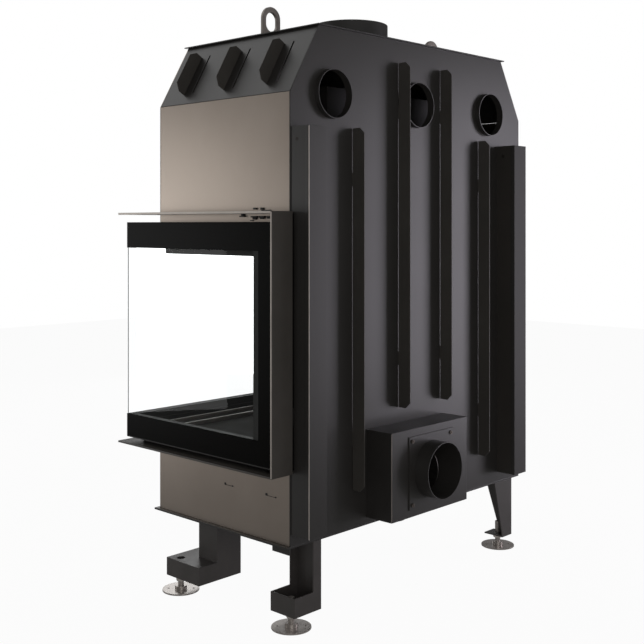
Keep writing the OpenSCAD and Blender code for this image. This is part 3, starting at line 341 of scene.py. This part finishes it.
def roundEdges(name, width):
    piece = copyOfNode(name, "_finished")
    bpy.ops.mesh.customdata_custom_splitnormals_clear()
    bpy.ops.object.mode_set(mode="EDIT")
    bpy.ops.mesh.select_all(action="SELECT")
    bpy.ops.mesh.remove_doubles(threshold=rounding["merge"])
    bpy.ops.mesh.dissolve_limited(angle_limit=math.radians(rounding["flat"]))
    bpy.ops.object.mode_set(mode="OBJECT")
    bevel = piece.modifiers.new("edges", "BEVEL")
    bevel.width, bevel.segments, bevel.limit_method = width, rounding["segments"], "ANGLE"
    bevel.angle_limit = math.radians(rounding["sharp"])
    bevel.use_clamp_overlap = True
    bpy.ops.object.modifier_apply(modifier="edges")
    bpy.ops.object.shade_smooth_by_angle(angle=math.radians(rounding["smooth"]))
    level = piece.modifiers.new("flatFaces", "WEIGHTED_NORMAL")
    level.mode, level.weight, level.keep_sharp = "FACE_AREA", rounding["faceWeight"], True
    bpy.ops.object.modifier_apply(modifier="flatFaces")
    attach(piece, bodyOf[name])
    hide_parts(name)


for name, width in edgeRounds.items():
    roundEdges(name, width)
print("edges rounded on", len(edgeRounds), "pieces")

# each straight run of rope is copied as a loose piece with its placement baked in, and its node is hidden
for name in ("cable_door_runs", "cable_weight_run_right", "cable_weight_run_left"):
    low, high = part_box(name)
    run = copyOfNode(name, "_run")
    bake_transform(run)
    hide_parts(name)


# small fittings on the glazed side, strips of painted highlight along edges, and the rails on the hearth

fittings = dict(
    # in millimetres from the middle of the lower edge of the side covers' outer face:
    # how far out, along from, along to, up from, up to
    guideClips=[
        (4, 126, 137, 815.5, 820.0), (4, 152, 162, 815.0, 820.0), (3, 155, 187, 811.5, 814.5),
        (5, 118, 142, 795.5, 799.0), (4, 124, 137, 790.5, 796.0), (5, 148, 168, 795.0, 799.0),
        (4, 150, 165, 791.5, 796.0), (4, 177, 186, 792.5, 799.0), (3, 114, 125, 787.0, 789.5),
        (6, 77, 96, 797.0, 800.0), (4, 82, 91, 799.5, 804.9)],
    coverHooks=[
        (1.2, 15, 20, 109.5, 115.5), (0.8, 19.5, 44, 109.6, 110.8), (1.0, 43.5, 48, 109.2, 112.6),
        (1.2, 168, 174, 109.5, 115.5), (0.8, 173.5, 202, 109.6, 110.8), (1.0, 201.5, 206, 109.2, 112.6)])
blockEdge = dict(width=0.0004, segments=2)
# strips of painted highlight laid along edges: their width, how far they stand proud, and how deep the
# wing's strip runs
highlightStrips = dict(width=0.0017, proud=0.0003, wingDeep=0.0032)
# metres in from the hearth's front, left and right ends, and the size of a rail
emberRails = dict(fromFront=(0.0415, 0.1055), fromLeft=0.0475, fromRight=0.0185, width=0.008, height=0.010)


def addBlocks(name, blocks, look):
    # a block is cut or pressed from sheet or bar, between a low and a high corner, with rounded edges
    members = []
    for low, high in blocks:
        selectOnly()
        bpy.ops.mesh.primitive_cube_add(size=1.0, location=(low + high) / 2, scale=high - low)
        members.append(bpy.context.object)
    selectOnly(*members)
    if len(members) > 1:
        bpy.ops.object.join()
    bpy.ops.object.transform_apply(location=True, rotation=True, scale=True)
    piece = bpy.context.object
    piece.name = piece.data.name = name
    bevel = piece.modifiers.new("edges", "BEVEL")
    bevel.width, bevel.segments = blockEdge["width"], blockEdge["segments"]
    bpy.ops.object.modifier_apply(modifier="edges")
    piece.data.materials.append(materials[look])
    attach(piece, "frame_body")


low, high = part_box("side_cover_lower")
coverFoot = Vector((high.x, (low.y + high.y) / 2, low.z))
for name, shapes in fittings.items():
    blocks = [(coverFoot + Vector((0, start, low)) / 1000, coverFoot + Vector((out, end, high)) / 1000)
              for out, start, end, low, high in shapes]
    addBlocks(name, blocks, "blackHeatPaint")

wide, proud = highlightStrips["width"], highlightStrips["proud"]
low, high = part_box("surround_top")
# a strip of painted highlight along the outer edge of the top surround plate
addBlocks("plateEdge", [(Vector((high.x - wide, low.y + wide, low.z - proud)),
                         Vector((high.x + proud, high.y, high.z + proud)))],
          "cutEdge")

# upright strips of painted highlight at the outer rear corner of a node: piece, node, how deep, look, slot
for name, node, deep, look, slot in (
        ("wingEdge", "surround_wings", highlightStrips["wingDeep"], "cutEdge", "surround_grey"),
        ("coverEdge", "channel_covers", wide, "cutEdge", "casing_dark"),
        ("airBoxEdge", "air_box", wide, "forgedSteel", "casing_dark")):
    low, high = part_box(node)
    addBlocks(name, [(Vector((high.x - wide, high.y - deep, low.z + wide)),
                      Vector((high.x + proud, high.y + proud, high.z - wide)))], look)

low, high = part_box("hearth_slab")
blocks = [(Vector((low.x + emberRails["fromLeft"], low.y + place, high.z)),
           Vector((high.x - emberRails["fromRight"], low.y + place + emberRails["width"],
                   high.z + emberRails["height"])))
          for place in emberRails["fromFront"]]
addBlocks("emberRails", blocks, "forgedSteel")
print("fittings, edges and rails added")


# studio: pale floor, soft light, the photograph's view

studio = dict(floorSize=14.0, floorColour="#E9E8E6",
              floorGlow=0.96,  # share of the backdrop's white in the floor, and the rest shows shadow
              paneLoss=0.08,  # what two panes take from the backdrop's white
              glossShare=0.12,  # how much of the white backdrop the metal and paint reflect
              room=0.10,  # brightness of the room around the object
              backdropColour="#FFFFFF")


def backdrop(tree):
    # the camera sees the white backdrop, also straight through the panes, and gloss shows a share of it.
    # It lights nothing. A ray is straight while it has met nothing but glass.
    path = addNode(tree, "ShaderNodeLightPath")
    bounces = addNode(tree, "ShaderNodeMath", {"operation": "ADD"},
                      {0: path.outputs["Diffuse Depth"], 1: path.outputs["Glossy Depth"]}).outputs[0]
    straight = addNode(tree, "ShaderNodeMath", {"operation": "LESS_THAN", 1: 0.5}, {0: bounces}).outputs[0]
    through = addNode(tree, "ShaderNodeMath", {"operation": "MULTIPLY"},
                      {0: path.outputs["Is Transmission Ray"], 1: straight}).outputs[0]
    direct = addNode(tree, "ShaderNodeMath", {"operation": "MAXIMUM"},
                     {0: path.outputs["Is Camera Ray"], 1: through}).outputs[0]
    inGloss = addNode(tree, "ShaderNodeMath", {"operation": "MULTIPLY", 1: studio["glossShare"]},
                      {0: path.outputs["Is Glossy Ray"]}).outputs[0]
    seen = addNode(tree, "ShaderNodeMath", {"operation": "MAXIMUM"}, {0: direct, 1: inGloss}).outputs[0]
    strength = addNode(tree, "ShaderNodeMath", {"operation": "MULTIPLY_ADD", 1: studio["paneLoss"], 2: 1.0},
                       {0: through}).outputs[0]
    return seen, strength


selectOnly()
bpy.ops.mesh.primitive_plane_add(size=studio["floorSize"], location=(0, 0, 0))
floor = bpy.context.object
floor.name = "floor"
floor.visible_glossy = False  # gloss sees the room all round
backdropColour = toLinear(studio["backdropColour"])
material, tree = newMaterial("paleFloor")
lit = addNode(tree, "ShaderNodeBsdfDiffuse", {"Color": toLinear(studio["floorColour"])})
seen, strength = backdrop(tree)
glow = addNode(tree, "ShaderNodeEmission", {"Color": backdropColour}, {"Strength": strength})
share = addNode(tree, "ShaderNodeMath", {"operation": "MULTIPLY", 1: studio["floorGlow"]},
                {0: seen}).outputs[0]
both = addNode(tree, "ShaderNodeMixShader", links={0: share, 1: lit.outputs[0], 2: glow.outputs[0]})
addNode(tree, "ShaderNodeOutputMaterial", links={"Surface": both.outputs[0]})
floor.data.materials.append(material)

world = bpy.data.worlds.new("studio")
bpy.context.scene.world = world
world.use_nodes = True
tree = world.node_tree
tree.nodes.clear()
soft = addNode(tree, "ShaderNodeBackground", {"Color": backdropColour, "Strength": studio["room"]})
seen, strength = backdrop(tree)
white = addNode(tree, "ShaderNodeBackground", {"Color": backdropColour}, {"Strength": strength})
both = addNode(tree, "ShaderNodeMixShader", links={0: seen, 1: soft.outputs[0], 2: white.outputs[0]})
addNode(tree, "ShaderNodeOutputWorld", links={"Surface": both.outputs[0]})

lamps = {  # place, aim, width, height, brightness of the lamp's face
    "backSoftbox": ((-1.95, 1.56, 0.83), (-0.15, 0.24, 0.83), 0.8, 1.7, 3.4),
    "sideSoftbox": ((2.20, -2.82, 0.74), (0.46, -0.30, 0.80), 1.3, 1.6, 1.65),
    "topFill": ((1.1, -2.2, 3.3), (0.4, 0.0, 1.3), 2.4, 2.4, 0.85),
    "wideFill": ((2.4, 3.2, 1.3), (0.2, 0.1, 0.7), 3.0, 2.4, 1.2),
    "frontSoftbox": ((-2.5, -2.9, 0.95), (-0.1, -0.2, 0.75), 1.8, 1.9, 1.5),
}
coolTube = (0.95, 0.9, 1.0)  # colour of the back softbox
whiteFace = 4.0  # watts per square metre at which a lamp's face shows as white
for name, (place, aim, width, height, brightness) in lamps.items():
    bpy.ops.object.light_add(type="AREA", location=place)
    lamp = bpy.context.object
    lamp.name = name
    lamp.data.shape, lamp.data.size, lamp.data.size_y = "RECTANGLE", width, height
    lamp.data.energy = brightness * whiteFace * width * height
    lamp.rotation_euler = (Vector(aim) - Vector(place)).to_track_quat("-Z", "Y").to_euler()
bpy.data.objects["backSoftbox"].data.color = coolTube

view = dict(place=(2.2039, 2.00198, 0.99465), turn=(90.0, 0.0, 133.51),
            sensor=36.0, lens=57.36, rise=-0.1511, near=0.05, far=60.0)
bpy.ops.object.camera_add(location=view["place"], rotation=[math.radians(a) for a in view["turn"]])
camera = bpy.context.object
camera.name = "photoView"
camera.data.sensor_width, camera.data.lens, camera.data.shift_y = view["sensor"], view["lens"], view["rise"]
camera.data.clip_start, camera.data.clip_end = view["near"], view["far"]
bpy.context.scene.camera = camera
bpy.context.scene.view_settings.view_transform = "Standard"
print("studio and camera ready")
